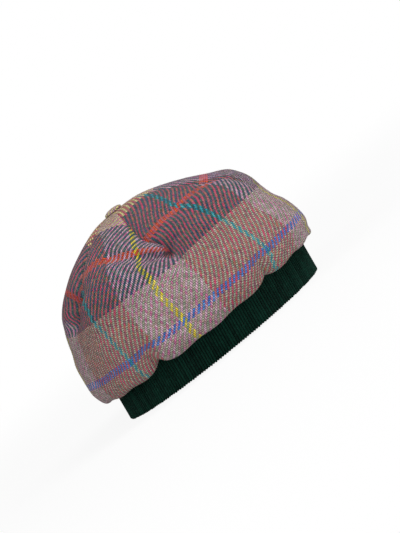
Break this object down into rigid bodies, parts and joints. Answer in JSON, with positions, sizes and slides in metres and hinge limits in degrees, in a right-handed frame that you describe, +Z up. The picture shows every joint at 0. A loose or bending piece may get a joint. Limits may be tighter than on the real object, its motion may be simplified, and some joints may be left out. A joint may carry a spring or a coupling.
{
  "type": "tweed beret",
  "caption": "Puffed tweed beret with darted top, tucked lower edge, covered button and ribbed knit headband.",
  "frame": {"origin": "on the floor below the middle of the crown's widest ring", "axes": "+X towards the front of the hat, +Y towards the wearer's left, +Z up"},
  "size_m": [0.232, 0.2116, 0.1484],
  "materials": {
    "tweed": "woolly checked twill tweed",
    "button_tweed": "woolly twill tweed over a button",
    "rib_knit": "fine dark green rib knit"
  },
  "bodies": {
    "root": {"crown": "tweed", "crown_button": "button_tweed", "headband": "rib_knit"}
  },
  "joints": []
}
